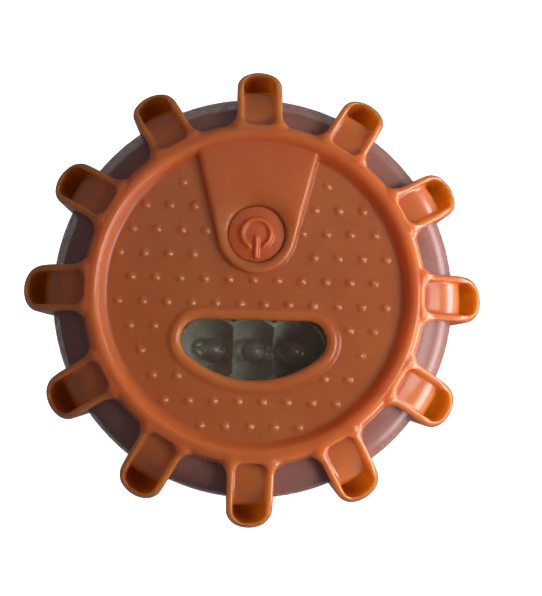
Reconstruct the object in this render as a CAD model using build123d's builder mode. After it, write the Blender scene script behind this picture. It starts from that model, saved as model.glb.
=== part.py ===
"""LED safety flare: a smoky clear round lamp in a soft orange jacket with twelve lugs.

The flare lies on its back. The origin is the centre of the back, on the plane it rests on.
+Z leaves the front face and +Y points from the front window to the power button.
All sizes are in millimetres.
"""

import os
from math import asin, degrees, hypot, sqrt

from build123d import *

os.makedirs("parts", exist_ok=True)

# ---------------------------------------------------------------- driving dimensions
# whole object
lug_count = 12
lug_pitch = 360 / lug_count
overall_radius = 52.85
fit_gap = 0.1  # between pieces that lie against each other
running_gap = 0.05  # radial, round a pin or a screw that moves in its hole

# clear housing: a cup, mouth down, with a rounded shoulder
body_radius = 46.0
body_wall = 2.0
body_top = 29.2
shoulder_radius = 9.0
body_rim = 3.1
body_inner_radius = body_radius - body_wall
shoulder_z = body_top - shoulder_radius

# rubber jacket: dish, ring, lugs and lower ring
face_underside = body_top + fit_gap
dish_floor = 31.0
relief_foot = 30.2  # the tongue and the window's lip rise from inside the face
dish_radius = 32.6
ring_crest_radius = 35.5
ring_crest = 33.5
ring_outer_radius = 38.4
ring_crest_half_width = 1.2
ring_bend = 1.4
lug_width = 10.3
lug_root_radius = 37.6
lug_end_radius = 6.5  # the lug's end is bowed in plan
lug_tip_corner = 1.5
lug_root_fillet = 3.5
lug_start_radius = 36.0
lug_start_top = 33.2  # height of the lug's top line where it leaves the ring
lug_tip_top = 26.0  # height of the same line over the tip, before rounding
lug_tip_fillet = 6.0
lug_belly_z = 18.0  # below this height the tip leans inwards
lug_foot_radius = 51.2
lug_foot_fillet = 1.5
trough_width = 7.3
trough_corner = 2.4
trough_start = 37.0
skin = 1.5  # rubber over the clear housing, under the troughs
pocket_mouth_radius = 51.1
pocket_mouth_z = 24.0
pocket_floor_radius = 50.0
pocket_floor = 5.0
above_all = 40.0  # cutters reach up to here
past = 1.0  # how far a cutter or a hidden foot runs past what it meets
overrun = 0.1  # how far a bowed or rounded end runs past the turned face that trims it
lower_ring_radius = 47.6
lower_ring_top = 7.0
lip_inner_radius = 41.0
lip_top = 0.8

# raised dots on the dish, in staggered rows
dot_pitch = 5.33
dot_row_origin = 2.69
dot_row_shift = -0.4  # the rows sit a little to the left of the middle
dot_radius = 0.7
dot_height = 0.4
dot_foot = 0.1
dot_field_radius = 31.3
dot_taper = 35
dot_rows = range(-6, 5)

# tongue and power button
button_y = 12.8
tongue_top = 32.6
tongue_tip_radius = 8.7
tongue_root_half_width = 13.9
tongue_root_y = 32.0
tongue_dot_clear = 1.1
tongue_edge = 1.0
button_radius = 6.0
button_hole_radius = 6.25
button_valley = 1.1  # how far the hole's edge slopes back
button_valley_depth = 0.9
button_flange_radius = 7.3
button_flange_bottom = 30.1
button_flange_top = 30.9
button_pocket_radius = 7.6
button_pocket_top = 31.05
button_top = 32.4
button_crown = 0.5
button_edge = 0.8
button_stem_radius = 3.0
button_stem_bottom = 25.8
button_stem_hole_radius = 3.5
symbol_radius = 3.1
symbol_line = 0.8
symbol_top = 32.6
symbol_gap = 2.6
symbol_bar_length = 4.4
symbol_bar_middle = 3.1  # below the button's centre
symbol_bar_width = 0.7

# front window in the jacket
window_top_y = -6.1
window_bottom_y = -19.3
window_arc_radius = 22.3
window_corner = 4.5
window_half_width = 16.0
window_lip_width = 2.2
window_lip_top = 31.7
soft_edge = 0.6
small_edge = 0.3
window_dot_clear = 3.3

# reflector and front LEDs
spot_columns = (-1, 0, 1)
spot_pitch = 9.1
spot_y = -12.75
cup_mouth_radius = 6.9
cup_throat_radius = 2.75
cup_wall = 0.8
cup_floor = 19.8
reflector_top = 27.0

# electronics
board_bottom = 15.6
board_top = 17.2
board_radius = 37.0
led_radius = 2.5
led_flange_radius = 2.9
led_flange_thickness = 1.0
spot_led_bottom = 17.4
side_led_axis_z = 20.3
side_led_inner_radius = 34.4
led_length = 8.6
lead_half_pitch = 1.27
lead_side = 0.5
lead_hole_radius = 0.45
lead_bend_radius = 32.4
lead_end_z = 14.8
switch_side = 6.0
switch_body_bottom = 17.3
switch_body_top = 20.7
plunger_radius = 1.75
plunger_bottom = 19.6
plunger_top = 25.2
plunger_well_bottom = 19.0
chip_place = (-13.0, 4.0)
chip_size = (5.0, 4.0, 1.5)
capacitor_place = (13.0, 4.0)
capacitor_radius = 2.5
capacitor_height = 6.0
resistor_circle = 29.2
resistor_size = (1.3, 2.0, 0.5)

# base housing, battery tray and cells
base_bottom = 0.9
base_top = 4.9
spigot_radius = 43.9
spigot_inner_radius = 42.2
spigot_top = 6.4
seal_inner_radius = 42.9
seal_bottom = 4.2
seal_top = 5.6
cell_radius = 5.25
cell_length = 44.5
cell_nub_radius = 1.9
cell_nub_length = 0.9
cell_pitch = 10.9
cell_axis_z = 8.6
tray_half_width = 16.5
tray_half_length = 24.6
tray_wall = 1.3
tray_ceiling = 14.2
tray_top = 15.4
plate_thickness = 0.4
plate_width = 8.0
plate_height = 8.0
tab_width = 2.5
tab_top = 17.8
tab_slot = (3.1, 1.0)
spring_wire_radius = 0.3
spring_turns = 3
spring_base_radius = 3.2
spring_cone_angle = -20

# battery cover, seal and screws
cover_radius = 34.0
cover_recess_radius = 34.2
cover_top = 3.0
cover_seat = 3.1
cover_seal_inner = 31.15
cover_seal_outer = 32.65
cover_seal_bottom = 2.0
cover_seal_top = 3.05
cover_screw_circle = 28.3
cover_screw_count = 4
cover_boss_radius = 2.4
cover_boss_top = 9.0
cover_screw_radius = 1.2
cover_screw_head_radius = 2.3
cover_screw_head_depth = 1.2
cover_screw_tip = 8.0
insert_radius = 1.9
insert_top = 8.6

# housing screws, under the battery cover
housing_screw_x = 24.5
housing_screw_y = 13.0
standoff_radius = 3.4
deck_boss_radius = 3.0
screw_head_radius = 2.5
screw_head_height = 1.8
screw_head_hole_radius = 2.8
screw_seat_z = 8.0
screw_radius = 1.38
screw_pilot_radius = 1.4
screw_clear_radius = 1.6
screw_tip_z = 22.5
screw_hole_end_z = 23.2
cross_span = 1.2  # times the head's radius
cross_width = 0.7
cross_depth = 0.7

# magnet and wire hook on the back
magnet_cup_radius = 12.5
magnet_cup_top = 2.4
magnet_radius = 11.4
magnet_cup_cavity = 1.75
magnet_top = 1.7
hook_wire_radius = 0.85
hook_radius = 38.3
hook_axis_z = 2.4
hook_pivot_y = 16.0
hook_pin_end_x = 30.8
hook_corner_radius = 2.0
groove_inner_radius = 36.6
groove_outer_radius = 40.0
groove_top = 3.6
hinge_pocket = (33.2, 37.0, 13.0, 19.0)  # low x, high x, low y, high y
hinge_pocket_top = 3.9
finger_notch_radius = 2.9
finger_notch_y = -38.6


# ---------------------------------------------------------------- shared outlines and helpers
on_base = (Align.CENTER, Align.CENTER, Align.MIN)


def side_outline(*points):
    """A closed outline in the radius and height plane, for turning about the flare's axis."""
    with BuildSketch(Plane.XZ) as sketch:
        with BuildLine():
            Polyline(*points, close=True)
        make_face()
    return sketch.sketch


def housing_outline(growth, bottom):
    """Half section of the clear housing's outside, grown outwards by a thickness."""
    outer = body_radius + growth
    top = body_top + growth
    with BuildSketch(Plane.XZ) as sketch:
        with BuildLine():
            Line((0, bottom), (0, top))
            Line((0, top), (outer - shoulder_radius - growth, top))
            RadiusArc((outer - shoulder_radius - growth, top), (outer, shoulder_z), shoulder_radius + growth)
            Line((outer, shoulder_z), (outer, bottom))
            Line((outer, bottom), (0, bottom))
        make_face()
    return sketch.sketch


def lip_hollow():
    """Half section of the round opening in the jacket's back, inside the lip."""
    return side_outline((0, 0), (lip_inner_radius, 0), (lip_inner_radius, lip_top), (0, lip_top))


def window_outline():
    """The front window: a flat top edge over a shallow arc, with rounded corners."""
    arc_centre_y = window_bottom_y + window_arc_radius
    reach = sqrt(window_arc_radius**2 - (window_top_y - arc_centre_y) ** 2)
    with BuildSketch() as sketch:
        with BuildLine():
            Line((-reach, window_top_y), (reach, window_top_y))
            ThreePointArc((reach, window_top_y), (0, window_bottom_y), (-reach, window_top_y))
        make_face()
        fillet(sketch.vertices(), window_corner)
    return sketch.sketch


def lug_blade():
    """Plan of one lug, pointing along +X: straight sides and a bowed end with small corners."""
    tip = overall_radius + overrun
    side_end = tip - lug_end_radius + sqrt(lug_end_radius**2 - (lug_width / 2) ** 2)
    with BuildSketch() as blade:
        with BuildLine():
            Polyline(
                (side_end, lug_width / 2),
                (0, lug_width / 2),
                (0, -lug_width / 2),
                (side_end, -lug_width / 2),
            )
            ThreePointArc((side_end, -lug_width / 2), (tip, 0), (side_end, lug_width / 2))
        make_face()
        fillet(blade.vertices().group_by(Axis.X)[-1], lug_tip_corner)
    return blade.sketch


def tongue_outline():
    """The tongue that carries the button: wide at the ring, narrowing to a round tip."""
    with BuildSketch() as sketch:
        with BuildLine():
            CenterArc((0, button_y), tongue_tip_radius, 0, 360)
            Line((-tongue_root_half_width, tongue_root_y), (tongue_root_half_width, tongue_root_y))
        make_hull()
    return sketch.sketch


def tongue_half_width(y):
    """Half the tongue's width at a place y above the button."""
    share = (y - button_y) / (tongue_root_y - button_y)
    return tongue_tip_radius + share * (tongue_root_half_width - tongue_tip_radius)


def dot_is_clear(x, y):
    """Whether a dot at x, y lies on the open dish, off the tongue and the window's lip."""
    if y > button_y:
        on_tongue = abs(x) < tongue_half_width(y) + tongue_dot_clear
    else:
        on_tongue = hypot(x, y - button_y) < tongue_tip_radius + tongue_dot_clear
    arc_centre_y = window_bottom_y + window_arc_radius
    on_window = (
        y < window_top_y + window_dot_clear
        and abs(x) < window_half_width + window_dot_clear
        and hypot(x, y - arc_centre_y) < window_arc_radius + window_dot_clear
    )
    return hypot(x, y) < dot_field_radius and not on_tongue and not on_window


def dot_centres():
    """Staggered rows of dots, clipped by the ring, the tongue and the window."""
    columns = int(dot_field_radius / dot_pitch) + 1
    centres = []
    for row in dot_rows:
        shift = 0.5 * (row % 2)
        for column in range(-columns, columns + 1):
            x = (column + shift) * dot_pitch
            y = dot_row_origin + row * dot_pitch
            if dot_is_clear(x, y):
                centres.append((x + dot_row_shift, y))
    return centres


def led_on(plane):
    """One round LED: flange, barrel and dome, standing on a plane."""
    with BuildPart(plane) as led:
        Cylinder(led_flange_radius, led_flange_thickness, align=on_base)
        Cylinder(led_radius, led_length - led_radius, align=on_base)
        with Locations((0, 0, led_length - led_radius)):
            Sphere(led_radius)
    return led.part


def cross_screws(places, head_bottom, head_top, head_radius, tip, shank_radius):
    """Screws driven upwards at the places, with a cross recess in each head."""
    with BuildPart() as screws:
        with Locations([(x, y, head_bottom) for x, y in places]):
            Cylinder(head_radius, head_top - head_bottom, align=on_base)
            Cylinder(shank_radius, tip - head_bottom, align=on_base)
            Box(cross_span * head_radius, cross_width, cross_depth, align=on_base, mode=Mode.SUBTRACT)
            Box(cross_width, cross_span * head_radius, cross_depth, align=on_base, mode=Mode.SUBTRACT)
    return screws.part


def write(part, label):
    """Label a finished piece and write it as its own file."""
    part.label = label
    export_step(part, f"parts/{label}.step")


spot_centres = [(column * spot_pitch, spot_y) for column in spot_columns]
housing_screw_places = [
    (side_x * housing_screw_x, side_y * housing_screw_y) for side_x in (-1, 1) for side_y in (-1, 1)
]
side_angles = [lug_pitch / 2 + lug_pitch * index for index in range(lug_count)]
cover_screw_places = [
    (location.position.X, location.position.Y)
    for location in PolarLocations(cover_screw_circle, cover_screw_count)
]

# ---------------------------------------------------------------- rubber jacket
with BuildPart() as troughs:
    # the hollow of each lug: a floor that follows the shoulder, then a deep pocket at the tip
    trough_inner = trough_start - past  # the turned shape starts inside the slot's rounded end
    trough_flat_end = body_radius - shoulder_radius
    with BuildSketch(Plane.XZ):
        with BuildLine():
            Polyline(
                (body_radius + skin, shoulder_z),
                (body_radius + skin, pocket_floor),
                (pocket_floor_radius, pocket_floor),
                (pocket_mouth_radius, pocket_mouth_z),
                (pocket_mouth_radius, above_all),
                (trough_inner, above_all),
                (trough_inner, body_top + skin),
                (trough_flat_end, body_top + skin),
            )
            RadiusArc(
                (trough_flat_end, body_top + skin),
                (body_radius + skin, shoulder_z),
                shoulder_radius + skin,
            )
        make_face()
    revolve(axis=Axis.Z)
    trough_length = pocket_mouth_radius + overrun - trough_start
    with BuildSketch():
        with PolarLocations(trough_start + trough_length / 2, lug_count):
            RectangleRounded(trough_length, trough_width, trough_corner)
    extrude(amount=above_all, mode=Mode.INTERSECT)

with BuildPart() as lugs:
    with BuildSketch(Plane.XZ):
        with BuildLine():
            FilletPolyline(
                (lug_start_radius, 0),
                (lug_start_radius, lug_start_top),
                (overall_radius, lug_tip_top),
                (overall_radius, lug_belly_z),
                (lug_foot_radius, 0),
                radius=[0, 0, lug_tip_fillet, lug_tip_fillet, lug_foot_fillet],
                close=True,
            )
        make_face()
        add(housing_outline(fit_gap, lip_top), mode=Mode.SUBTRACT)
        add(lip_hollow(), mode=Mode.SUBTRACT)
    revolve(axis=Axis.Z)
    with BuildSketch() as lug_plan:
        Circle(lug_root_radius)
        with PolarLocations(0, lug_count):
            add(lug_blade())
        fillet(lug_plan.vertices().group_by(SortBy.DISTANCE)[0], lug_root_fillet)
    extrude(amount=above_all, mode=Mode.INTERSECT)
    add(troughs.part, mode=Mode.SUBTRACT)

with BuildPart() as tongue:
    with BuildSketch(Plane.XY.offset(relief_foot)):
        add(tongue_outline())
    extrude(amount=tongue_top - relief_foot)
    fillet(tongue.faces().sort_by(Axis.Z)[-1].edges(), tongue_edge)

with BuildPart() as window_lip:
    with BuildSketch(Plane.XY.offset(relief_foot)):
        add(window_outline())
        offset(amount=window_lip_width)
    extrude(amount=window_lip_top - relief_foot)
    fillet(window_lip.faces().sort_by(Axis.Z)[-1].edges(), soft_edge)

with BuildPart() as rubber_jacket:
    # the face with its raised ring
    with BuildSketch(Plane.XZ):
        with BuildLine():
            FilletPolyline(
                (0, face_underside - past),
                (0, dish_floor),
                (dish_radius, dish_floor),
                (ring_crest_radius - ring_crest_half_width, ring_crest),
                (ring_crest_radius + ring_crest_half_width, ring_crest),
                (ring_outer_radius, face_underside - past),
                radius=[0, 0, ring_bend, ring_bend, ring_bend, 0],
                close=True,
            )
        make_face()
        add(housing_outline(fit_gap, lip_top), mode=Mode.SUBTRACT)
    revolve(axis=Axis.Z)
    # the ring that joins the lugs' feet, with a lip under the base
    with BuildSketch(Plane.XZ):
        with Locations(((lip_inner_radius + lower_ring_radius) / 2, lower_ring_top / 2)):
            RectangleRounded(lower_ring_radius - lip_inner_radius, lower_ring_top, soft_edge)
        add(housing_outline(fit_gap, lip_top), mode=Mode.SUBTRACT)
    revolve(axis=Axis.Z)
    add(lugs.part)
    add(tongue.part)
    add(window_lip.part)
    # the window and the button's hole
    with BuildSketch(Plane.XY.offset(body_top)):
        add(window_outline())
    extrude(amount=above_all - body_top, mode=Mode.SUBTRACT)
    with Locations((0, button_y, body_top)):
        Cylinder(button_hole_radius, above_all - body_top, align=on_base, mode=Mode.SUBTRACT)
        Cylinder(button_pocket_radius, button_pocket_top - body_top, align=on_base, mode=Mode.SUBTRACT)
    with Locations((0, button_y, tongue_top - button_valley_depth)):
        Cone(
            button_hole_radius,
            button_hole_radius + button_valley,
            button_valley_depth,
            align=on_base,
            mode=Mode.SUBTRACT,
        )
    with BuildSketch(Plane.XY.offset(dish_floor - dot_foot)):
        with Locations(dot_centres()):
            Circle(dot_radius)
    extrude(amount=dot_height + dot_foot, taper=dot_taper)

write(rubber_jacket.part, "rubber_jacket")

# ---------------------------------------------------------------- power button
with BuildPart() as power_button:
    button_edge_top = button_top - button_crown
    with BuildSketch(Plane.XZ.offset(-button_y)):
        with BuildLine():
            Polyline(
                (0, button_top),
                (0, button_stem_bottom),
                (button_stem_radius, button_stem_bottom),
                (button_stem_radius, button_flange_bottom),
                (button_flange_radius, button_flange_bottom),
                (button_flange_radius, button_flange_top),
                (button_radius, button_flange_top),
                (button_radius, button_edge_top),
            )
            TangentArc((0, button_top), (button_radius, button_edge_top), tangent=(1, 0))
        make_face()
    revolve(axis=Axis((0, button_y, 0), (0, 0, 1)))
    fillet(power_button.edges().filter_by_position(Axis.Z, button_edge_top, button_edge_top), button_edge)
    # the on/off sign in relief: an open ring and a bar that runs out through the gap
    with BuildSketch(Plane.XY.offset(button_flange_top)):
        with Locations((0, button_y)):
            Circle(symbol_radius + symbol_line / 2)
            Circle(symbol_radius - symbol_line / 2, mode=Mode.SUBTRACT)
        with Locations((0, button_y - symbol_radius)):
            Rectangle(symbol_gap, symbol_radius, mode=Mode.SUBTRACT)
        with Locations((0, button_y - symbol_bar_middle)):
            SlotOverall(symbol_bar_length, symbol_bar_width, rotation=90)
    extrude(amount=symbol_top - button_flange_top)

write(power_button.part, "power_button")

# ---------------------------------------------------------------- clear housing
with BuildPart() as clear_housing:
    revolve(housing_outline(0, body_rim), axis=Axis.Z)
    revolve(housing_outline(-body_wall, body_rim), axis=Axis.Z, mode=Mode.SUBTRACT)
    # bosses under the deck take the housing screws
    with Locations([(x, y, board_top + fit_gap) for x, y in housing_screw_places]):
        Cylinder(deck_boss_radius, body_top - board_top - past, align=on_base)
        Cylinder(
            screw_pilot_radius,
            screw_hole_end_z - board_top - fit_gap,
            align=on_base,
            mode=Mode.SUBTRACT,
        )
    with Locations((0, button_y, body_top - body_wall - past)):
        Cylinder(button_stem_hole_radius, body_wall + 2 * past, align=on_base, mode=Mode.SUBTRACT)

write(clear_housing.part, "clear_housing")

# ---------------------------------------------------------------- base housing
with BuildPart() as base_housing:
    revolve(
        side_outline(
            (0, cover_seat),
            (cover_recess_radius, cover_seat),
            (cover_recess_radius, base_bottom),
            (groove_inner_radius, base_bottom),
            (groove_inner_radius, groove_top),
            (groove_outer_radius, groove_top),
            (groove_outer_radius, base_bottom),
            (body_radius, base_bottom),
            (body_radius, body_rim),
            (spigot_radius, body_rim),
            (spigot_radius, spigot_top),
            (spigot_inner_radius, spigot_top),
            (spigot_inner_radius, base_top),
            (0, base_top),
        ),
        axis=Axis.Z,
    )
    revolve(
        side_outline(
            (seal_inner_radius, seal_bottom),
            (body_radius, seal_bottom),
            (body_radius, seal_top),
            (seal_inner_radius, seal_top),
        ),
        axis=Axis.Z,
        mode=Mode.SUBTRACT,
    )
    # battery tray, open towards the back
    with Locations((0, 0, cover_seat)):
        Box(
            2 * (tray_half_width + tray_wall),
            2 * (tray_half_length + tray_wall),
            tray_top - cover_seat,
            align=on_base,
        )
        Box(
            2 * tray_half_width,
            2 * tray_half_length,
            tray_ceiling - cover_seat,
            align=on_base,
            mode=Mode.SUBTRACT,
        )
    # bosses for the cover screws' inserts
    with Locations([(x, y, cover_seat) for x, y in cover_screw_places]):
        Cylinder(cover_boss_radius, cover_boss_top - cover_seat, align=on_base)
        Cylinder(insert_radius, insert_top - cover_seat, align=on_base, mode=Mode.SUBTRACT)
    # standoffs that carry the board, with the housing screws' heads sunk inside
    with Locations([(x, y, cover_seat) for x, y in housing_screw_places]):
        Cylinder(standoff_radius, board_bottom - cover_seat, align=on_base)
        Cylinder(screw_head_hole_radius, screw_seat_z - cover_seat, align=on_base, mode=Mode.SUBTRACT)
        Cylinder(screw_clear_radius, board_bottom - cover_seat, align=on_base, mode=Mode.SUBTRACT)
    # slots for the contact tabs
    with Locations(
        (-cell_pitch, tray_half_length - plate_thickness / 2, tray_ceiling),
        (cell_pitch, -tray_half_length + plate_thickness / 2, tray_ceiling),
    ):
        Box(*tab_slot, tray_top - tray_ceiling + past, align=on_base, mode=Mode.SUBTRACT)
    # hinge pockets and pin holes for the wire hook, and a notch for a fingernail
    pocket_low_x, pocket_high_x, pocket_low_y, pocket_high_y = hinge_pocket
    for side in (-1, 1):
        with Locations(
            (
                side * (pocket_low_x + pocket_high_x) / 2,
                (pocket_low_y + pocket_high_y) / 2,
                base_bottom,
            )
        ):
            Box(
                pocket_high_x - pocket_low_x,
                pocket_high_y - pocket_low_y,
                hinge_pocket_top - base_bottom,
                align=on_base,
                mode=Mode.SUBTRACT,
            )
        with BuildSketch(Plane.YZ.offset(side * (hook_pin_end_x - fit_gap))):
            with Locations((hook_pivot_y, hook_axis_z)):
                Circle(hook_wire_radius + running_gap)
        extrude(amount=side * (pocket_high_x - hook_pin_end_x - past), mode=Mode.SUBTRACT)
    with Locations((0, finger_notch_y, base_bottom)):
        Cylinder(finger_notch_radius, groove_top - base_bottom, align=on_base, mode=Mode.SUBTRACT)

write(base_housing.part, "base_housing")

# ---------------------------------------------------------------- seals
with BuildPart() as housing_seal:
    with Locations((0, 0, seal_bottom)):
        Cylinder(body_inner_radius, seal_top - seal_bottom, align=on_base)
        Cylinder(seal_inner_radius, seal_top - seal_bottom, align=on_base, mode=Mode.SUBTRACT)

write(housing_seal.part, "housing_seal")

with BuildPart() as cover_seal:
    with Locations((0, 0, cover_seal_bottom)):
        Cylinder(cover_seal_outer, cover_seal_top - cover_seal_bottom, align=on_base)
        Cylinder(cover_seal_inner, cover_seal_top - cover_seal_bottom, align=on_base, mode=Mode.SUBTRACT)

write(cover_seal.part, "cover_seal")

# ---------------------------------------------------------------- main board
with BuildPart() as main_board:
    with BuildSketch(Plane.XY.offset(board_bottom)):
        Circle(board_radius)
        with Locations(housing_screw_places):
            Circle(screw_clear_radius, mode=Mode.SUBTRACT)
        with PolarLocations(lead_bend_radius, lug_count, lug_pitch / 2):
            with Locations((0, -lead_half_pitch), (0, lead_half_pitch)):
                Circle(lead_hole_radius, mode=Mode.SUBTRACT)
        with Locations(spot_centres):
            with Locations((-lead_half_pitch, 0), (lead_half_pitch, 0)):
                Circle(lead_hole_radius, mode=Mode.SUBTRACT)
        with Locations(
            (-cell_pitch, tray_half_length - plate_thickness / 2),
            (cell_pitch, -tray_half_length + plate_thickness / 2),
        ):
            Rectangle(*tab_slot, mode=Mode.SUBTRACT)
    extrude(amount=board_top - board_bottom)

write(main_board.part, "main_board")

with BuildPart() as switch_body:
    with Locations((0, button_y, switch_body_bottom)):
        Box(switch_side, switch_side, switch_body_top - switch_body_bottom, align=on_base)
    with Locations((0, button_y, plunger_well_bottom)):
        Cylinder(
            plunger_radius + running_gap,
            switch_body_top - plunger_well_bottom,
            align=on_base,
            mode=Mode.SUBTRACT,
        )

write(switch_body.part, "switch_body")

with BuildPart() as switch_plunger:
    with Locations((0, button_y, plunger_bottom)):
        Cylinder(plunger_radius, plunger_top - plunger_bottom, align=on_base)

write(switch_plunger.part, "switch_plunger")

with BuildPart() as controller_chip:
    with Locations((*chip_place, board_top)):
        Box(*chip_size, align=on_base)
    chamfer(controller_chip.faces().sort_by(Axis.Z)[-1].edges(), small_edge)

write(controller_chip.part, "controller_chip")

with BuildPart() as capacitor:
    with Locations((*capacitor_place, board_top)):
        Cylinder(capacitor_radius, capacitor_height, align=on_base)
    fillet(capacitor.faces().sort_by(Axis.Z)[-1].edges(), small_edge)

write(capacitor.part, "capacitor")

with BuildPart() as resistors:
    with BuildSketch(Plane.XY.offset(board_top)):
        with PolarLocations(resistor_circle, lug_count, lug_pitch / 2):
            Rectangle(resistor_size[0], resistor_size[1])
    extrude(amount=resistor_size[2])

write(resistors.part, "resistors")

# ---------------------------------------------------------------- LEDs
for number, (x, y) in enumerate(spot_centres, start=1):
    write(led_on(Plane((x, y, spot_led_bottom))), f"spot_led_{number}")

for number, angle in enumerate(side_angles, start=1):
    outwards = Vector(1, 0, 0).rotate(Axis.Z, angle)
    foot = outwards * side_led_inner_radius + Vector(0, 0, side_led_axis_z)
    write(led_on(Plane(foot, x_dir=(0, 0, 1), z_dir=outwards)), f"side_led_{number:02d}")

with BuildPart() as side_led_leads:
    half = lead_side / 2
    for angle in side_angles:
        outwards = Vector(1, 0, 0).rotate(Axis.Z, angle)
        for side in (-1, 1):
            across = outwards.rotate(Axis.Z, -90)
            with BuildSketch(Plane(across * side * lead_half_pitch, x_dir=outwards, z_dir=across)):
                with BuildLine():
                    Polyline(
                        (side_led_inner_radius, side_led_axis_z + half),
                        (lead_bend_radius - half, side_led_axis_z + half),
                        (lead_bend_radius - half, lead_end_z),
                        (lead_bend_radius + half, lead_end_z),
                        (lead_bend_radius + half, side_led_axis_z - half),
                        (side_led_inner_radius, side_led_axis_z - half),
                        close=True,
                    )
                make_face()
            extrude(amount=half, both=True)

write(side_led_leads.part, "side_led_leads")

with BuildPart() as spot_led_leads:
    with Locations([(x, y, board_bottom - fit_gap) for x, y in spot_centres]):
        with Locations((-lead_half_pitch, 0, 0), (lead_half_pitch, 0, 0)):
            Box(lead_side, lead_side, spot_led_bottom - board_bottom + fit_gap, align=on_base)

write(spot_led_leads.part, "spot_led_leads")

# ---------------------------------------------------------------- reflector
with BuildPart() as cup_shell:
    cup_middle = (cup_mouth_radius + cup_throat_radius) / 2
    cup_slope = 2 * cup_throat_radius * (reflector_top - cup_floor)
    cup_slope /= cup_mouth_radius**2 - cup_throat_radius**2
    cup_bend_z = cup_floor + cup_slope * (cup_middle - cup_throat_radius)
    with BuildSketch(Plane.XZ):
        with BuildLine():
            Bezier(
                (cup_throat_radius + cup_wall, cup_floor - cup_wall),
                (cup_middle + cup_wall, cup_bend_z - cup_wall),
                (cup_mouth_radius + cup_wall, reflector_top),
            )
            Polyline(
                (cup_mouth_radius + cup_wall, reflector_top),
                (0, reflector_top),
                (0, cup_floor - cup_wall),
                (cup_throat_radius + cup_wall, cup_floor - cup_wall),
            )
        make_face()
    revolve(axis=Axis.Z)

with BuildPart() as cup_hollow:
    with BuildSketch(Plane.XZ):
        with BuildLine():
            Bezier(
                (cup_throat_radius, cup_floor),
                (cup_middle, cup_bend_z),
                (cup_mouth_radius, reflector_top),
            )
            Polyline(
                (cup_mouth_radius, reflector_top),
                (0, reflector_top),
                (0, cup_floor - cup_wall),
                (cup_throat_radius, cup_floor - cup_wall),
                (cup_throat_radius, cup_floor),
            )
        make_face()
    revolve(axis=Axis.Z)

with BuildPart() as spot_reflector:
    # a skirt that stands on the board, then the three cups
    with BuildSketch(Plane.XY.offset(board_top + fit_gap)):
        with Locations(spot_centres):
            Circle(cup_mouth_radius + cup_wall)
    extrude(amount=reflector_top - board_top - fit_gap)
    with BuildSketch(Plane.XY.offset(board_top + fit_gap)):
        with Locations(spot_centres):
            Circle(cup_mouth_radius)
    extrude(amount=reflector_top - board_top - fit_gap, mode=Mode.SUBTRACT)
    with Locations(spot_centres):
        add(cup_shell.part)
    with Locations(spot_centres):
        add(cup_hollow.part, mode=Mode.SUBTRACT)

write(spot_reflector.part, "spot_reflector")

# ---------------------------------------------------------------- cells and contacts
for number, column in enumerate((-1, 0, 1), start=1):
    points_up = 1 if column else -1  # the middle cell lies the other way round
    nub_end_y = points_up * (tray_half_length - plate_thickness)
    tail_y = nub_end_y - points_up * cell_length
    lie = Plane((column * cell_pitch, tail_y, cell_axis_z), z_dir=(0, points_up, 0))
    with BuildPart(lie) as cell:
        Cylinder(cell_radius, cell_length - cell_nub_length, align=on_base)
        fillet(cell.edges(), small_edge)
        with Locations((0, 0, cell_length - cell_nub_length - running_gap)):
            Cylinder(cell_nub_radius, cell_nub_length + running_gap, align=on_base)
    write(cell.part, f"battery_{number}")

with BuildPart() as contact_plates:
    plate_y = tray_half_length - plate_thickness / 2
    for end in (-1, 1):
        # one cell's own plate, with the tab that reaches the board
        with Locations((-end * cell_pitch, end * plate_y, cell_axis_z)):
            Box(plate_width, plate_thickness, plate_height)
        with Locations((-end * cell_pitch, end * plate_y, cell_axis_z)):
            Box(tab_width, plate_thickness, tab_top - cell_axis_z, align=on_base)
        # the plate that joins the other two cells
        with Locations((end * cell_pitch / 2, end * plate_y, cell_axis_z)):
            Box(cell_pitch + plate_width, plate_thickness, plate_height)

write(contact_plates.part, "contact_plates")

with BuildPart() as contact_springs:
    spring_length = 2 * (tray_half_length - plate_thickness) - cell_length
    for column in (-1, 0, 1):
        points_up = 1 if column else -1
        foot = Vector(
            column * cell_pitch,
            -points_up * (tray_half_length - plate_thickness - spring_wire_radius),
            cell_axis_z,
        )
        coil_height = spring_length - 2 * spring_wire_radius
        with BuildLine() as coil:
            Helix(
                coil_height / spring_turns,
                coil_height,
                spring_base_radius,
                center=foot,
                direction=(0, points_up, 0),
                cone_angle=spring_cone_angle,
            )
        with BuildSketch(Plane(coil.line @ 0, z_dir=coil.line % 0)):
            Circle(spring_wire_radius)
        sweep(path=coil.line, is_frenet=True)

write(contact_springs.part, "contact_springs")

# ---------------------------------------------------------------- battery cover
with BuildPart() as battery_cover:
    with Locations((0, 0, base_bottom)):
        Cylinder(cover_radius, cover_top - base_bottom, align=on_base)
        Cylinder(
            magnet_cup_radius + running_gap,
            magnet_cup_top - base_bottom,
            align=on_base,
            mode=Mode.SUBTRACT,
        )
    revolve(
        side_outline(
            (cover_seal_inner, cover_seal_bottom),
            (cover_seal_outer, cover_seal_bottom),
            (cover_seal_outer, cover_seat),
            (cover_seal_inner, cover_seat),
        ),
        axis=Axis.Z,
        mode=Mode.SUBTRACT,
    )
    with Locations([(x, y, base_bottom) for x, y in cover_screw_places]):
        Cylinder(
            cover_screw_head_radius + fit_gap, cover_screw_head_depth, align=on_base, mode=Mode.SUBTRACT
        )
        Cylinder(
            cover_screw_radius + fit_gap, cover_top - base_bottom, align=on_base, mode=Mode.SUBTRACT
        )

write(battery_cover.part, "battery_cover")

cover_screws = cross_screws(
    cover_screw_places,
    base_bottom,
    base_bottom + cover_screw_head_depth,
    cover_screw_head_radius,
    cover_screw_tip,
    cover_screw_radius,
)
write(cover_screws, "cover_screws")

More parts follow.
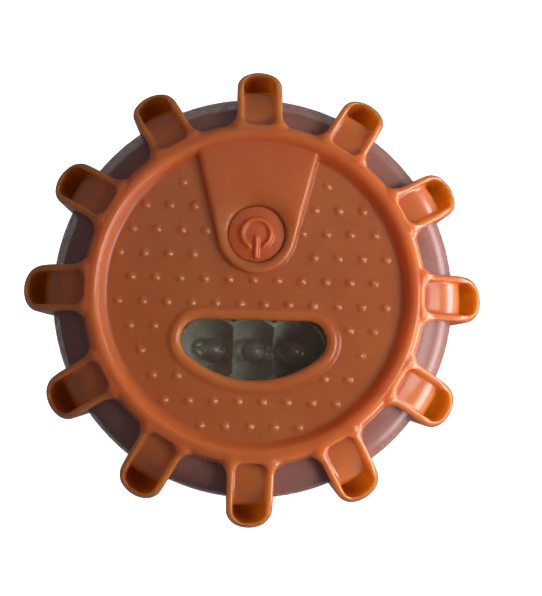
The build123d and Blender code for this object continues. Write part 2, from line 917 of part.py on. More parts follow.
with BuildPart() as screw_inserts:
    with Locations([(x, y, cover_seat + fit_gap) for x, y in cover_screw_places]):
        Cylinder(insert_radius, insert_top - cover_seat - fit_gap, align=on_base)
        Cylinder(
            cover_screw_radius + running_gap,
            insert_top - cover_seat - fit_gap,
            align=on_base,
            mode=Mode.SUBTRACT,
        )

write(screw_inserts.part, "screw_inserts")

housing_screws = cross_screws(
    housing_screw_places,
    screw_seat_z - screw_head_height,
    screw_seat_z,
    screw_head_radius,
    screw_tip_z,
    screw_radius,
)
write(housing_screws, "housing_screws")

# ---------------------------------------------------------------- magnet
with BuildPart() as magnet_cup:
    Cylinder(magnet_cup_radius, magnet_cup_top, align=on_base)
    Cylinder(magnet_radius + running_gap, magnet_cup_cavity, align=on_base, mode=Mode.SUBTRACT)

write(magnet_cup.part, "magnet_cup")

with BuildPart() as magnet:
    Cylinder(magnet_radius, magnet_top, align=on_base)

write(magnet.part, "magnet")

# ---------------------------------------------------------------- wire hook
with BuildPart() as hook:
    # a bow that follows the groove, with its ends turned inwards as hinge pins
    pivot_angle = degrees(asin(hook_pivot_y / hook_radius))
    with BuildLine(Plane.XY.offset(hook_axis_z)) as hook_path:
        bow = CenterArc((0, 0), hook_radius, pivot_angle, -180 - 2 * pivot_angle)
        Line((hook_pin_end_x, hook_pivot_y), bow @ 0)
        Line(bow @ 1, (-hook_pin_end_x, hook_pivot_y))
        fillet(hook_path.vertices(), hook_corner_radius)
    with BuildSketch(Plane(hook_path.line @ 0, z_dir=hook_path.line % 0)):
        Circle(hook_wire_radius)
    sweep(path=hook_path.line)

write(hook.part, "hook")
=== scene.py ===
"""LED safety flare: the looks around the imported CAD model.

Blender works in metres. The jacket and the button are worked out in millimetres, as distance
fields of nearly the CAD's sizes, and turned into smooth meshes.
"""

import math

import bpy
import numpy as np
import openvdb
from mathutils import Euler, Matrix, Vector


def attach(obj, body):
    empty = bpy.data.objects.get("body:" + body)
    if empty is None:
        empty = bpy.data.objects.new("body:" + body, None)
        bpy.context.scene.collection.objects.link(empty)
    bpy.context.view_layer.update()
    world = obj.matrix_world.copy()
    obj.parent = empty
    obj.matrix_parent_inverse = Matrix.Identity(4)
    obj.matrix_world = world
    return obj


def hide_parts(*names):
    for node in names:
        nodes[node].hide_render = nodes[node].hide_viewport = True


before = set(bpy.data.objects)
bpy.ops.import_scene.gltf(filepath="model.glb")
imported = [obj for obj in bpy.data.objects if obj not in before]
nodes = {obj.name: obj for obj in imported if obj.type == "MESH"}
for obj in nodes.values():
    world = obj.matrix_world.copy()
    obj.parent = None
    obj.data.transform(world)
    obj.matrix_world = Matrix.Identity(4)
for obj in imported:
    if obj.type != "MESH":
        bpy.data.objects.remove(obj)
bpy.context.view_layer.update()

MM = 0.001

# ---------------------------------------------------------------- sizes, in millimetres
# A pair is a radius and a height, unless its line says what else it is.
# Names that end in EDGE or CORNER are roundings, and FILLET fills an inner corner.

# clear housing
HOUSING_RADIUS = 46.1
HOUSING_TOP = 29.3
SHOULDER = 9.1

# dish and ring
DISH_FLOOR = 31.0
DISH_RADIUS = 32.6
CREST_TOP = 33.5
CREST_INNER = 34.3
CREST_OUTER = 36.7
RING_OUTER = 38.4
RING_FOOT = 28.3
FACE_EDGE = 0.6
CREST_OUTER_EDGE = 1.3
CREST_INNER_EDGE = 0.6
DISH_FILLET = 0.4

# lugs, their pockets, and the lower ring that joins their feet
LUG_COUNT = 12
LUG_HALF_WIDTH = 5.15
LUG_TIP = 52.85
LUG_END_RADIUS = 6.5  # in plan
LUG_START = (36.0, 33.2)
LUG_TIP_TOP = 26.0
LUG_BELLY = 18.0
LUG_FOOT = 51.2
LUG_EDGE = 1.0
LUG_NOSE_EDGE = 6.0  # between the lug's sloping top and its end
LUG_PLAN_EDGE = 3.0  # between the lug's sides and its end
LUG_PLAN_SHIFT = 1.0  # how far beyond the end that edge starts
LUG_FILLET = (0.05, 2.65)  # least, at the crest, and most
LUG_FILLET_START = 1.0  # how far outside the crest's inner edge the fillet starts to grow
LUG_FILLET_GROWTH = 2.5  # over how far it grows
TROUGH_HALF_WIDTH = 3.65
TROUGH_START = 37.0
TROUGH_END = 51.1
POCKET_FOOT = 50.0
POCKET_FLOOR = 5.0
POCKET_MOUTH = 24.0
POCKET_INNER_CORNER = 2.0
POCKET_OUTER_CORNER = 3.0
POCKET_FLOOR_CORNER = 1.0
POCKET_WALL_CORNER = 0.7
POCKET_EDGE = 0.65
SKIN = 1.6  # what is left between a pocket and the housing
LOWER_RING = (41.0, 47.6, 7.0)  # inner radius, outer radius, top
LOWER_RING_EDGE = 0.6
LOWER_RING_FILLET = 1.2
LIP_TOP = 0.8

# tongue, and the hole for the button with its valley
BUTTON_Y = 12.8
TONGUE_TOP = 32.6
TONGUE_TIP = 8.7  # radius in plan, about the button
TONGUE_ROOT = (13.9, 32.0)  # half width, and distance from the middle
TONGUE_EDGE = 1.2
TONGUE_ROOT_EDGE = 1.0
TONGUE_FILLET = 0.3
BUTTON_HOLE = 6.25
BUTTON_HOLE_EDGE = 0.05
BUTTON_VALLEY = (1.3, 0.55)  # width and depth
BUTTON_VALLEY_EDGE = 1.0
BUTTON_POCKET = (7.6, 31.05)  # room for the button's flange

# window, in plan: a straight top over an arc
WINDOW_TOP = -6.1
WINDOW_ARC = (3.0, 22.3)  # y of its centre, and radius
WINDOW_CORNER = 4.5
WINDOW_EDGE = 1.3
WINDOW_LIP = 2.5
WINDOW_LIP_TOP = 31.7
WINDOW_LIP_EDGE = 0.9
WINDOW_LIP_FILLET = 0.8

# button and its sign
BUTTON_RADIUS = 6.2
BUTTON_SLOPE = (4.6, 32.4, 32.05)  # where it starts, its top and its foot
BUTTON_TOP = 32.4
BUTTON_CROWN = 0.5
BUTTON_EDGE = 0.05
BUTTON_SLOPE_EDGE = 2.2
BUTTON_FLANGE = (7.3, 30.5, 0.4)  # radius, middle height, half thickness
STEM = (3.0, 25.8)
SIGN_RADIUS = 3.15
SIGN_LINE = 1.0
SIGN_RISE = 0.2
SIGN_GAP = 2.6
SIGN_GAP_EDGE = 0.4
SIGN_BAR = (0.9, 5.0)  # how far below the sign's middle it starts and ends
SIGN_FILLET = 0.5

# dots
DOT_PITCH = 5.33
DOT_ROW_ORIGIN = 2.69
DOT_ROWS = (-6, 4)  # first and last row
DOT_SHIFT = -0.6
DOT_FIELD = 31.3
DOT_TO_TONGUE = 1.1
DOT_TO_WINDOW = 3.3
DOT_TOP = 31.42
DOT_BALL = 1.2
DOT_FILLET = 0.3

# meshing
FAR = 99.0  # a distance that stands for nothing near
TINY = 0.01  # keeps a distance that divides away from zero
LEAST_SLOPE = 1e-9  # and a slope that divides
JACKET_VOXEL = 0.4
BUTTON_VOXEL = 0.2
BAND = 3  # voxels on each side of the surface for which distances are kept
SLOPE_STEP = 0.02  # step over which a field's slope is taken
PASSES = 3  # how often each vertex is moved towards the surface


# ---------------------------------------------------------------- distance fields
def both(a, b, r):
    """What lies in a and in b, with the outer edge rounded."""
    return np.minimum(np.maximum(a, b), -r) + np.hypot(np.maximum(a + r, 0), np.maximum(b + r, 0))


def either(a, b, r):
    """What lies in a or in b, with the inner corner filled."""
    return np.maximum(np.minimum(a, b), r) - np.hypot(np.maximum(r - a, 0), np.maximum(r - b, 0))


def half_plane(u, v, start, end):
    """Distance in front of the line from start to end; what is on its right is inside."""
    length = math.hypot(end[0] - start[0], end[1] - start[1])
    along = ((end[0] - start[0]) / length, (end[1] - start[1]) / length)
    return (v - start[1]) * along[0] - (u - start[0]) * along[1]


def housing_field(r, z):
    """The clear housing with its rounded shoulder, grown by the fit gap."""
    a = r - (HOUSING_RADIUS - SHOULDER)
    b = z - (HOUSING_TOP - SHOULDER)
    return np.minimum(np.maximum(a, b), 0) + np.hypot(np.maximum(a, 0), np.maximum(b, 0)) - SHOULDER


def window_field(x, y):
    """Plan of the front window: a flat top edge over a shallow arc, with rounded corners."""
    line_y = WINDOW_TOP - WINDOW_CORNER
    radius = WINDOW_ARC[1] - WINDOW_CORNER
    corner_x = math.sqrt(radius**2 - (WINDOW_ARC[0] - line_y) ** 2)
    away = np.maximum(np.hypot(x, y - WINDOW_ARC[0]), TINY)
    on_line = np.where(np.abs(x) < corner_x, np.abs(y - line_y), FAR)
    below = (y - WINDOW_ARC[0]) * radius / away < line_y - WINDOW_ARC[0]
    on_arc = np.where(below, np.abs(away - radius), FAR)
    gap = np.minimum(np.minimum(on_line, on_arc), np.hypot(np.abs(x) - corner_x, y - line_y))
    return np.where((y < line_y) & (away < radius), -gap, gap) - WINDOW_CORNER


def tongue_field(x, y):
    """Plan of the tongue: the hull of its round tip and its wide root."""
    rise = TONGUE_ROOT[1] - BUTTON_Y
    lean = math.acos(TONGUE_TIP / math.hypot(TONGUE_ROOT[0], rise)) - math.atan2(rise, TONGUE_ROOT[0])
    side = np.abs(x) * math.cos(lean) - (y - BUTTON_Y) * math.sin(lean)
    beyond = np.abs(x) * math.sin(lean) + (y - BUTTON_Y) * math.cos(lean) < 0
    return np.where(beyond, np.hypot(x, y - BUTTON_Y), side) - TONGUE_TIP


def dot_distance(x, y):
    """Plan distance to the nearest dot, with the dots off the open dish left out."""
    x = x - DOT_SHIFT
    best = np.full(np.broadcast(x, y).shape, FAR, np.float32)
    row_near = np.round((y - DOT_ROW_ORIGIN) / DOT_PITCH)
    for step in (-1, 0, 1):
        row = row_near + step
        shift = 0.5 * np.mod(row, 2)
        for side in (0, 1):
            column = np.floor(x / DOT_PITCH - shift) + side
            dot_x = (column + shift) * DOT_PITCH
            dot_y = DOT_ROW_ORIGIN + row * DOT_PITCH
            clear = (
                (np.hypot(dot_x, dot_y) < DOT_FIELD)
                & (row >= DOT_ROWS[0])
                & (row <= DOT_ROWS[1])
                & (tongue_field(dot_x, dot_y) > DOT_TO_TONGUE)
                & (window_field(dot_x, dot_y) > DOT_TO_WINDOW)
            )
            best = np.where(clear, np.minimum(best, np.hypot(x - dot_x, y - dot_y)), best)
    return best


def jacket_field(x, y, z):
    """The soft orange jacket."""
    r = np.hypot(x, y)
    housing = housing_field(r, z)
    # face with its raised ring
    slope_in = half_plane(r, z, (DISH_RADIUS, DISH_FLOOR), (CREST_INNER, CREST_TOP))
    slope_out = half_plane(r, z, (CREST_OUTER, CREST_TOP), (RING_OUTER, RING_FOOT))
    face = both(z - DISH_FLOOR, slope_out, FACE_EDGE)
    ring = both(both(z - CREST_TOP, slope_out, CREST_OUTER_EDGE), slope_in, CREST_INNER_EDGE)
    shell = either(face, ring, DISH_FILLET)
    # lugs: one, folded round
    sector = 2 * math.pi / LUG_COUNT
    angle = np.arctan2(y, x)
    folded = angle - sector * np.round(angle / sector)
    u = r * np.cos(folded)
    v = np.abs(r * np.sin(folded))
    top = half_plane(u, z, LUG_START, (LUG_TIP, LUG_TIP_TOP))
    belly = half_plane(u, z, (LUG_TIP, LUG_BELLY), (LUG_FOOT, 0))
    drop = LUG_END_RADIUS - np.sqrt(LUG_END_RADIUS**2 - np.minimum(v, LUG_HALF_WIDTH) ** 2)
    bow = u - LUG_TIP + drop
    tip = np.maximum(bow, belly + drop)
    sides = both(v - LUG_HALF_WIDTH, bow - LUG_PLAN_SHIFT, LUG_PLAN_EDGE)
    lug = both(both(top, tip, LUG_NOSE_EDGE), sides, LUG_EDGE)
    lug = both(lug, LUG_START[0] - u, LUG_EDGE)
    # the fillet between ring and lug fades out towards the crest, which stays round
    least, most = LUG_FILLET
    grown = np.clip((r - CREST_INNER - LUG_FILLET_START) / LUG_FILLET_GROWTH, 0, 1)
    shell = either(shell, lug, least + (most - least) * grown)
    # the ring that joins the lugs' feet
    middle = (LOWER_RING[0] + LOWER_RING[1]) / 2
    half = (LOWER_RING[1] - LOWER_RING[0]) / 2
    foot = both(np.abs(r - middle) - half, z - LOWER_RING[2], LOWER_RING_EDGE)
    shell = either(shell, foot, LOWER_RING_FILLET)
    # hollow of each lug
    pocket_out = half_plane(u, z, (TROUGH_END, POCKET_MOUTH), (POCKET_FOOT, POCKET_FLOOR))
    pocket_out = np.maximum(u - TROUGH_END, pocket_out)
    plan = both(v - TROUGH_HALF_WIDTH, TROUGH_START - u, POCKET_INNER_CORNER)
    plan = both(plan, pocket_out, POCKET_OUTER_CORNER)
    floor = both(SKIN - housing, POCKET_FLOOR - z, POCKET_FLOOR_CORNER)
    hollow = both(plan, floor, POCKET_WALL_CORNER)
    shell = both(shell, -hollow, POCKET_EDGE)
    # tongue, window lip and dots
    tongue = both(tongue_field(x, y), z - TONGUE_TOP, TONGUE_EDGE)
    shell = either(shell, both(tongue, r - CREST_INNER, TONGUE_ROOT_EDGE), TONGUE_FILLET)
    window = window_field(x, y)
    lip = both(window - WINDOW_LIP, z - WINDOW_LIP_TOP, WINDOW_LIP_EDGE)
    shell = either(shell, lip, WINDOW_LIP_FILLET)
    dots = np.hypot(dot_distance(x, y), z - (DOT_TOP - DOT_BALL)) - DOT_BALL
    shell = either(shell, dots, DOT_FILLET)
    # openings
    shell = both(shell, -window, WINDOW_EDGE)
    button = np.hypot(x, y - BUTTON_Y)
    shell = both(shell, BUTTON_HOLE - button, BUTTON_HOLE_EDGE)
    valley_foot = (BUTTON_HOLE, TONGUE_TOP - BUTTON_VALLEY[1])
    valley_edge = (BUTTON_HOLE + BUTTON_VALLEY[0], TONGUE_TOP)
    shell = both(shell, half_plane(button, z, valley_foot, valley_edge), BUTTON_VALLEY_EDGE)
    shell = np.maximum(shell, np.minimum(BUTTON_POCKET[0] - button, BUTTON_POCKET[1] - z))
    # the room for the housing, which joins the opening for the base, and the resting plane
    opening = np.maximum(r - LOWER_RING[0], z - (HOUSING_TOP - SHOULDER))
    inside = np.minimum(np.maximum(housing, LIP_TOP - z), opening)
    return np.maximum(np.maximum(shell, -inside), -z)


def button_field(x, y, z):
    """The power button: a soft cap with the sign in relief, over its flange and stem."""
    y = y - BUTTON_Y
    b = np.hypot(x, y)
    ball = (BUTTON_RADIUS**2 + BUTTON_CROWN**2) / (2 * BUTTON_CROWN)
    dome = np.hypot(b, z - (BUTTON_TOP - ball)) - ball
    slope_start, slope_top, slope_foot = BUTTON_SLOPE
    slope = half_plane(b, z, (slope_start, slope_top), (BUTTON_RADIUS, slope_foot))
    cap = both(b - BUTTON_RADIUS, both(dome, slope, BUTTON_SLOPE_EDGE), BUTTON_EDGE)
    flange = np.maximum(b - BUTTON_FLANGE[0], np.abs(z - BUTTON_FLANGE[1]) - BUTTON_FLANGE[2])
    cap = np.maximum(cap, BUTTON_FLANGE[1] - z)
    stem = np.maximum(b - STEM[0], np.maximum(STEM[1] - z, z - BUTTON_FLANGE[1]))
    rise = SIGN_RISE - SIGN_LINE / 2
    ring = np.hypot(b - SIGN_RADIUS, dome - rise) - SIGN_LINE / 2
    ring = both(ring, np.minimum(SIGN_GAP / 2 - np.abs(x), -y), SIGN_GAP_EDGE)
    along = np.clip(-y, *SIGN_BAR)
    bar = np.sqrt(x * x + (y + along) ** 2 + (dome - rise) ** 2) - SIGN_LINE / 2
    sign = np.minimum(ring, bar)
    return np.minimum(np.minimum(either(cap, sign, SIGN_FILLET), flange), stem)


def mesh_from_field(name, field, low, high, voxel):
    """Meshes a distance field: openvdb finds the faces, and each vertex is moved onto the surface."""
    axes = [np.arange(a - 2 * voxel, b + 3 * voxel, voxel, dtype=np.float32) for a, b in zip(low, high)]
    x, y, z = axes[0][:, None, None], axes[1][None, :, None], axes[2][None, None, :]
    values = np.clip(field(x, y, z), -BAND * voxel, BAND * voxel).astype(np.float32)
    grid = openvdb.FloatGrid(BAND * voxel)
    grid.copyFromArray(values)
    points, triangles, quads = grid.convertToPolygons(isovalue=0.0, adaptivity=0.0)
    points = points * voxel + np.array([a[0] for a in axes])

    def slope(p):
        g = np.empty_like(p)
        for k in range(3):
            step = np.zeros(3)
            step[k] = SLOPE_STEP
            g[:, k] = field(*(p + step).T) - field(*(p - step).T)
        return g / np.maximum(np.linalg.norm(g, axis=1, keepdims=True), LEAST_SLOPE)

    for _ in range(PASSES):
        miss = np.clip(field(*points.T), -voxel / 2, voxel / 2)
        points = points - miss[:, None] * slope(points)
    normals = slope(points)
    mesh = bpy.data.meshes.new(name)
    faces = triangles.tolist() + quads.tolist()
    first = points[faces[0]]
    if np.dot(np.cross(first[1] - first[0], first[2] - first[0]), normals[faces[0][0]]) < 0:
        faces = [f[::-1] for f in faces]
    mesh.from_pydata((points * MM).tolist(), [], faces)
    mesh.validate()
    mesh.shade_smooth()
    mesh.normals_split_custom_set_from_vertices(normals.tolist())
    mesh.update()
    obj = bpy.data.objects.new(name, mesh)
    bpy.context.scene.collection.objects.link(obj)
    print(name, len(mesh.vertices), "vertices", len(mesh.polygons), "faces")
    return obj


jacket = mesh_from_field(
    "soft_jacket",
    jacket_field,
    (-LUG_TIP, -LUG_TIP, 0),
    (LUG_TIP, LUG_TIP, CREST_TOP),
    JACKET_VOXEL,
)
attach(jacket, "housing")
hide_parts("rubber_jacket")

button = mesh_from_field(
    "soft_button",
    button_field,
    (-BUTTON_FLANGE[0], BUTTON_Y - BUTTON_FLANGE[0], STEM[1]),
    (BUTTON_FLANGE[0], BUTTON_Y + BUTTON_FLANGE[0], BUTTON_TOP + SIGN_RISE),
    BUTTON_VOXEL,
)
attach(button, "button")
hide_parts("power_button")


# ---------------------------------------------------------------- materials
NOISE_RANGE = (0.3, 0.7)  # most of a noise's values lie between these
CLEAR_DECK = 33.0  # the housing is clear within this radius, in millimetres
FROSTED_FROM = 38.0  # and frosted beyond this one


def tree_of(name):
    """A new material, its node tree and its shader."""
    material = bpy.data.materials.new(name)
    material.use_nodes = True
    return material, material.node_tree, material.node_tree.nodes["Principled BSDF"]


def linear(srgb):
    """An sRGB colour, 0 to 255, as the linear values that shaders use."""
    c = np.array(srgb, float) / 255
    return [*np.where(c <= 0.04045, c / 12.92, ((c + 0.055) / 1.055) ** 2.4), 1.0]


def noise(tree, scale, detail, rough=0.55):
    """A noise whose scale is in features per metre."""
    place = tree.nodes.new("ShaderNodeTexCoord")
    made = tree.nodes.new("ShaderNodeTexNoise")
    made.inputs["Scale"].default_value = scale
    made.inputs["Detail"].default_value = detail
    made.inputs["Roughness"].default_value = rough
    tree.links.new(place.outputs["Object"], made.inputs["Vector"])
    return made.outputs["Fac"]


def ramp(tree, value, stops):
    """Colours along a value: each stop is a position and a colour."""
    made = tree.nodes.new("ShaderNodeValToRGB")
    tree.links.new(value, made.inputs["Fac"])
    elements = made.color_ramp.elements
    elements[0].position, elements[0].color = stops[0]
    elements[1].position, elements[1].color = stops[-1]
    for position, colour in stops[1:-1]:
        elements.new(position).color = colour
    return made.outputs["Color"]


def spread(tree, value, low, high):
    """A noise spread over the range from low to high."""
    made = tree.nodes.new("ShaderNodeMapRange")
    tree.links.new(value, made.inputs["Value"])
    made.inputs["From Min"].default_value, made.inputs["From Max"].default_value = NOISE_RANGE
    made.inputs["To Min"].default_value = low
    made.inputs["To Max"].default_value = high
    return made.outputs["Result"]


def bumped(tree, shader, layers):
    """Bump from several noises, each with its strength and its depth in metres."""
    normal = None
    for value, strength, depth in layers:
        made = tree.nodes.new("ShaderNodeBump")
        made.inputs["Strength"].default_value = strength
        made.inputs["Distance"].default_value = depth
        tree.links.new(value, made.inputs["Height"])
        if normal is not None:
            tree.links.new(normal, made.inputs["Normal"])
        normal = made.outputs["Normal"]
    tree.links.new(normal, shader.inputs["Normal"])


def surface(name, dark, light, scale, gloss, grain, metallic=0.0):
    """A moulded, painted or metal surface: mottled colour, uneven gloss and a fine grain."""
    material, tree, shader = tree_of(name)
    mottle = noise(tree, scale, 5.0, 0.6)
    colour = ramp(tree, mottle, [(0.32, linear(dark)), (0.68, linear(light))])
    tree.links.new(colour, shader.inputs["Base Color"])
    tree.links.new(spread(tree, noise(tree, scale * 2.7, 3.0), *gloss), shader.inputs["Roughness"])
    grain_scale, grain_depth = grain
    fine = noise(tree, grain_scale, 3.0, 0.6)
    bumped(tree, shader, [(fine, 0.5, grain_depth), (mottle, 0.2, grain_depth)])
    shader.inputs["Metallic"].default_value = metallic
    return material


rubber, tree, shader = tree_of("orange_rubber")
mottle = noise(tree, 55, 5.0, 0.6)
colour = ramp(
    tree,
    mottle,
    [(0.3, linear((228, 108, 48))), (0.5, linear((234, 114, 52))), (0.7, linear((240, 122, 58)))],
)
tree.links.new(colour, shader.inputs["Base Color"])
tree.links.new(spread(tree, noise(tree, 240, 3.0), 0.42, 0.52), shader.inputs["Roughness"])
shader.inputs["Subsurface Weight"].default_value = 0.75
shader.inputs["Subsurface Radius"].default_value = (1.2, 1.3, 0.8)
shader.inputs["Subsurface Scale"].default_value = 0.009
shader.inputs["Subsurface Anisotropy"].default_value = 0.3
shader.inputs["IOR"].default_value = 1.45
shader.inputs["Specular IOR Level"].default_value = 0.3
shader.inputs["Coat Weight"].default_value = 1.0
shader.inputs["Coat Roughness"].default_value = 0.2
bumped(tree, shader, [(noise(tree, 2600, 2.0), 0.25, 0.00004), (noise(tree, 320, 4.0), 0.15, 0.0002)])
jacket.data.materials.append(rubber)
# the button is thin over a dark hollow, so light goes less deep into it
button_rubber = rubber.copy()
button_rubber.name = "button_rubber"
button_shader = button_rubber.node_tree.nodes["Principled BSDF"]
button_shader.inputs["Subsurface Scale"].default_value = 0.003
button.data.materials.append(button_rubber)

smoky, tree, shader = tree_of("smoky_clear")
tint = ramp(
    tree, noise(tree, 40, 3.0), [(0.3, linear((166, 112, 102))), (0.7, linear((180, 124, 112)))]
)
tree.links.new(tint, shader.inputs["Base Color"])
tree.links.new(spread(tree, noise(tree, 300, 3.0), 0.22, 0.3), shader.inputs["Roughness"])
shader.inputs["Transmission Weight"].default_value = 0.1
shader.inputs["IOR"].default_value = 1.5
# the deck is polished and clear; the shoulder and the wall are frosted
place = tree.nodes.new("ShaderNodeTexCoord")
axes = tree.nodes.new("ShaderNodeSeparateXYZ")
tree.links.new(place.outputs["Object"], axes.inputs["Vector"])
squares = []
for axis in "XY":
    square = tree.nodes.new("ShaderNodeMath")
    square.operation = "MULTIPLY"
    tree.links.new(axes.outputs[axis], square.inputs[0])
    tree.links.new(axes.outputs[axis], square.inputs[1])
    squares.append(square)
total = tree.nodes.new("ShaderNodeMath")
total.operation = "ADD"
for k in (0, 1):
    tree.links.new(squares[k].outputs["Value"], total.inputs[k])
frost = tree.nodes.new("ShaderNodeMapRange")
frost.inputs["From Min"].default_value = (CLEAR_DECK * MM) ** 2
frost.inputs["From Max"].default_value = (FROSTED_FROM * MM) ** 2
frost.inputs["To Min"].default_value = 0.06
frost.inputs["To Max"].default_value = 0.8
tree.links.new(total.outputs["Value"], frost.inputs["Value"])
tree.links.new(frost.outputs["Result"], shader.inputs["Alpha"])
bumped(tree, shader, [(noise(tree, 900, 2.0), 0.03, 0.00002)])

METAL = 1.0
# each row: name, dark and light colour, mottle scale, lowest and highest roughness,
# scale and depth of the grain, and how metallic it is
finishes = {
    "clear_housing": smoky,
    "base_housing": surface("dark_shell", (52, 44, 46), (68, 58, 58), 60, (0.45, 0.62), (1800, 0.00005)),
    "battery_cover": surface("cover_plastic", (46, 42, 44), (60, 54, 54), 60, (0.5, 0.65), (1800, 0.00006)),
    "housing_seal": surface("seal_rubber", (20, 20, 22), (36, 36, 38), 120, (0.6, 0.75), (2500, 0.00003)),
    "main_board": surface(
        "board_laminate", (196, 196, 190), (214, 214, 206), 80, (0.35, 0.5), (1500, 0.00002)
    ),
    # the reflector's green-grey colour is a painted reflection of green surroundings, laid over the
    # chrome's own grey
    "spot_reflector": surface(
        "reflector_chrome", (150, 160, 142), (176, 186, 166), 200, (0.2, 0.3), (700, 0.00002), 0.4
    ),
    "black": surface("black_plastic", (22, 22, 24), (38, 38, 40), 150, (0.4, 0.55), (2500, 0.00002)),
    "white": surface("white_plastic", (205, 202, 192), (224, 222, 214), 150, (0.35, 0.5), (2500, 0.00002)),
    "steel": surface(
        "screw_steel", (150, 148, 146), (196, 194, 190), 400, (0.2, 0.38), (3000, 0.00001), METAL
    ),
    "brass": surface(
        "insert_brass", (176, 138, 70), (206, 170, 98), 400, (0.25, 0.4), (3000, 0.00001), METAL
    ),
    "tin": surface(
        "tinned_wire", (176, 176, 176), (206, 206, 206), 500, (0.2, 0.35), (3000, 0.00001), METAL
    ),
    "sleeve": surface("capacitor_sleeve", (24, 26, 44), (34, 38, 62), 300, (0.3, 0.45), (2500, 0.00001)),
    "ceramic": surface("resistor_ceramic", (24, 24, 26), (44, 44, 48), 900, (0.35, 0.5), (4000, 0.00001)),
    "nickel": surface(
        "contact_nickel", (168, 166, 160), (206, 204, 196), 500, (0.18, 0.32), (3000, 0.00001), METAL
    ),
    "cup": surface(
        "cup_steel", (128, 126, 124), (176, 174, 170), 160, (0.28, 0.46), (2200, 0.00002), METAL
    ),
    "magnet": surface(
        "magnet_nickel", (156, 154, 150), (190, 188, 182), 220, (0.16, 0.34), (1800, 0.00002), METAL
    ),
    "hook": surface(
        "hook_wire", (150, 150, 150), (198, 198, 196), 260, (0.2, 0.36), (2600, 0.00001), METAL
    ),
    "cell": surface("cell_wrap", (38, 62, 54), (52, 80, 70), 120, (0.25, 0.4), (1500, 0.00002)),
}


def lens(name, dark, light, gloss, clearness):
    """The moulded plastic of an LED."""
    material, tree, shader = tree_of(name)
    tint = ramp(tree, noise(tree, 400, 2.0), [(0.3, linear(dark)), (0.7, linear(light))])
    tree.links.new(tint, shader.inputs["Base Color"])
    tree.links.new(spread(tree, noise(tree, 900, 2.0), *gloss), shader.inputs["Roughness"])
    shader.inputs["Transmission Weight"].default_value = clearness
    shader.inputs["IOR"].default_value = 1.5
    return material


white_led = lens("white_led_lens", (196, 198, 186), (214, 214, 204), (0.03, 0.1), 0.97)
red_led = lens("red_led_lens", (190, 40, 30), (210, 60, 44), (0.05, 0.14), 0.7)


def finish_of(name):
    """Which finish a CAD node takes."""
    for start, key in (
        ("spot_led_leads", "tin"),
        ("side_led_leads", "tin"),
        ("switch_body", "black"),
        ("switch_plunger", "white"),
        ("controller_chip", "black"),
        ("capacitor", "sleeve"),
        ("resistors", "ceramic"),
        ("battery_cover", "battery_cover"),
        ("battery", "cell"),
        ("contact", "nickel"),
        ("cover_seal", "housing_seal"),
        ("screw_inserts", "brass"),
        ("housing_screws", "steel"),
        ("cover_screws", "steel"),
        ("magnet_cup", "cup"),
        ("magnet", "magnet"),
        ("hook", "hook"),
    ):
        if name.startswith(start):
            return finishes[key]
    if name.startswith("spot_led"):
        return white_led
    if name.startswith("side_led"):
        return red_led
    return finishes.get(name, rubber)


for name, node in nodes.items():
    node.data.materials.clear()
    node.data.materials.append(finish_of(name))

# ---------------------------------------------------------------- floor, lights, camera
FLOOR_REACH = 4.0
LAMPS_AIM = 0.03  # height that the lamps point at
FLOOR_DROP = 0.0001  # just below the flare's back, so that the two don't share a plane
CAMERA_LENS = 51.34
CAMERA_SENSOR = 36.0
# the turn, in degrees, and the shift, in millimetres, that bring the middle of the dish's floor
# and the flare's axes into the camera's frame
VIEW_TURN = (-4.6, 2.15, -1.58)
VIEW_SHIFT = (-3.49, 1.32, -186.4)

floor_mesh = bpy.data.meshes.new("floor")
floor_mesh.from_pydata(
    [
        (-FLOOR_REACH, -FLOOR_REACH, 0),
        (FLOOR_REACH, -FLOOR_REACH, 0),
        (FLOOR_REACH, FLOOR_REACH, 0),
        (-FLOOR_REACH, FLOOR_REACH, 0),
    ],
    [],
    [(0, 1, 2, 3)],
)
floor = bpy.data.objects.new("floor", floor_mesh)
bpy.context.scene.collection.objects.link(floor)
floor.location.z = -FLOOR_DROP
# the white floor would light the lugs from below, so the flare does not see it
floor.visible_diffuse = False
floor.visible_glossy = False
floor.visible_transmission = False
paper = surface("paper", (238, 238, 238), (244, 244, 244), 6, (0.7, 0.8), (900, 0.00002))
floor.data.materials.append(paper)

world = bpy.data.worlds.new("studio")
bpy.context.scene.world = world
world.use_nodes = True
tree = world.node_tree
ambient = tree.nodes["Background"]
ambient.inputs["Color"].default_value = (0.86, 0.9, 1.0, 1.0)
ambient.inputs["Strength"].default_value = 0.13
# beyond the floor's edge a picture shows a white backdrop, which lights nothing
backdrop = tree.nodes.new("ShaderNodeBackground")
backdrop.inputs["Color"].default_value = (1.0, 1.0, 1.0, 1.0)
chosen = tree.nodes.new("ShaderNodeMixShader")
rays = tree.nodes.new("ShaderNodeLightPath")
tree.links.new(rays.outputs["Is Camera Ray"], chosen.inputs["Fac"])
tree.links.new(ambient.outputs["Background"], chosen.inputs[1])
tree.links.new(backdrop.outputs["Background"], chosen.inputs[2])
tree.links.new(chosen.outputs["Shader"], tree.nodes["World Output"].inputs["Surface"])

bpy.context.scene.view_settings.view_transform = "Standard"


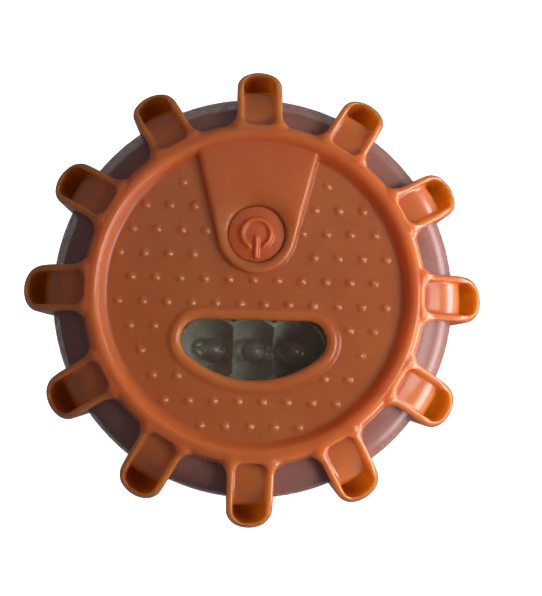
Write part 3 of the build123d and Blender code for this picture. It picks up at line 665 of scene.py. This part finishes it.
def lamp(name, azimuth, elevation, distance, size, power, colour, shadows_of=None, kind="all"):
    """An area lamp that lights the flare only, aimed at its middle.

    shadows_of is the one group that casts shadows, and kind is "all", "soft" or "shine":
    all of the lamp's light, only what scatters, or only what mirrors.
    """
    data = bpy.data.lights.new(name, "AREA")
    data.shape = "RECTANGLE"
    data.size, data.size_y = size
    data.energy = power
    data.color = colour
    lamp_object = bpy.data.objects.new(name, data)
    a, e = math.radians(azimuth), math.radians(elevation)
    away = Vector((math.cos(a) * math.cos(e), math.sin(a) * math.cos(e), math.sin(e)))
    lamp_object.location = away * distance + Vector((0, 0, LAMPS_AIM))
    lamp_object.rotation_mode = "QUATERNION"
    lamp_object.rotation_quaternion = away.to_track_quat("Z", "Y")
    bpy.context.scene.collection.objects.link(lamp_object)
    lamp_object.visible_camera = False
    lamp_object.visible_diffuse = kind != "shine"
    lamp_object.visible_glossy = kind != "soft"
    lamp_object.light_linking.receiver_collection = object_group
    lamp_object.light_linking.blocker_collection = shadows_of


floor_group = bpy.data.collections.new("floor_group")
floor_group.objects.link(floor)
object_group = bpy.data.collections.new("object_group")
for piece in [jacket, button, *nodes.values()]:
    object_group.objects.link(piece)
# each lamp's azimuth and elevation are in degrees, its distance and size in metres and its power
# in watts
# the strip lies just below the horizon, so it reaches the slopes that face it and not the dish
lamp("side_strip", -6, -3, 0.8, (1.3, 0.3), 9.0, (0.95, 0.96, 1.0), object_group)
# the near lamp, without reflections, makes the dish brighter towards its own side
lamp("side_window", -8, 38, 0.24, (0.12, 0.1), 0.36, (1.0, 0.98, 0.96), kind="soft")
lamp("side_shine", -8, 45, 0.6, (0.3, 0.3), 1.5, (1.0, 0.95, 0.93), kind="shine")
lamp("top_light", 80, 60, 1.0, (0.9, 0.9), 0.5, (0.97, 0.98, 1.0))
# a wide soft sun keeps the whole floor evenly white, and its shadow faint
floor_sun = bpy.data.lights.new("floor_sun", "SUN")
floor_sun.energy = 7.0
floor_sun.angle = math.radians(70)
floor_light = bpy.data.objects.new("floor_sun", floor_sun)
bpy.context.scene.collection.objects.link(floor_light)
floor_light.light_linking.receiver_collection = floor_group

camera = bpy.data.objects.new("camera", bpy.data.cameras.new("camera"))
bpy.context.scene.collection.objects.link(camera)
bpy.context.scene.camera = camera
camera.data.sensor_width = CAMERA_SENSOR
camera.data.lens = CAMERA_LENS
to_camera = Euler([math.radians(angle) for angle in VIEW_TURN], "XYZ").to_matrix().to_4x4()
to_camera.translation = Vector(VIEW_SHIFT) * MM
camera.matrix_world = Matrix.Translation((0, 0, DISH_FLOOR * MM)) @ to_camera.inverted()
camera.data.clip_start, camera.data.clip_end = 0.005, 20
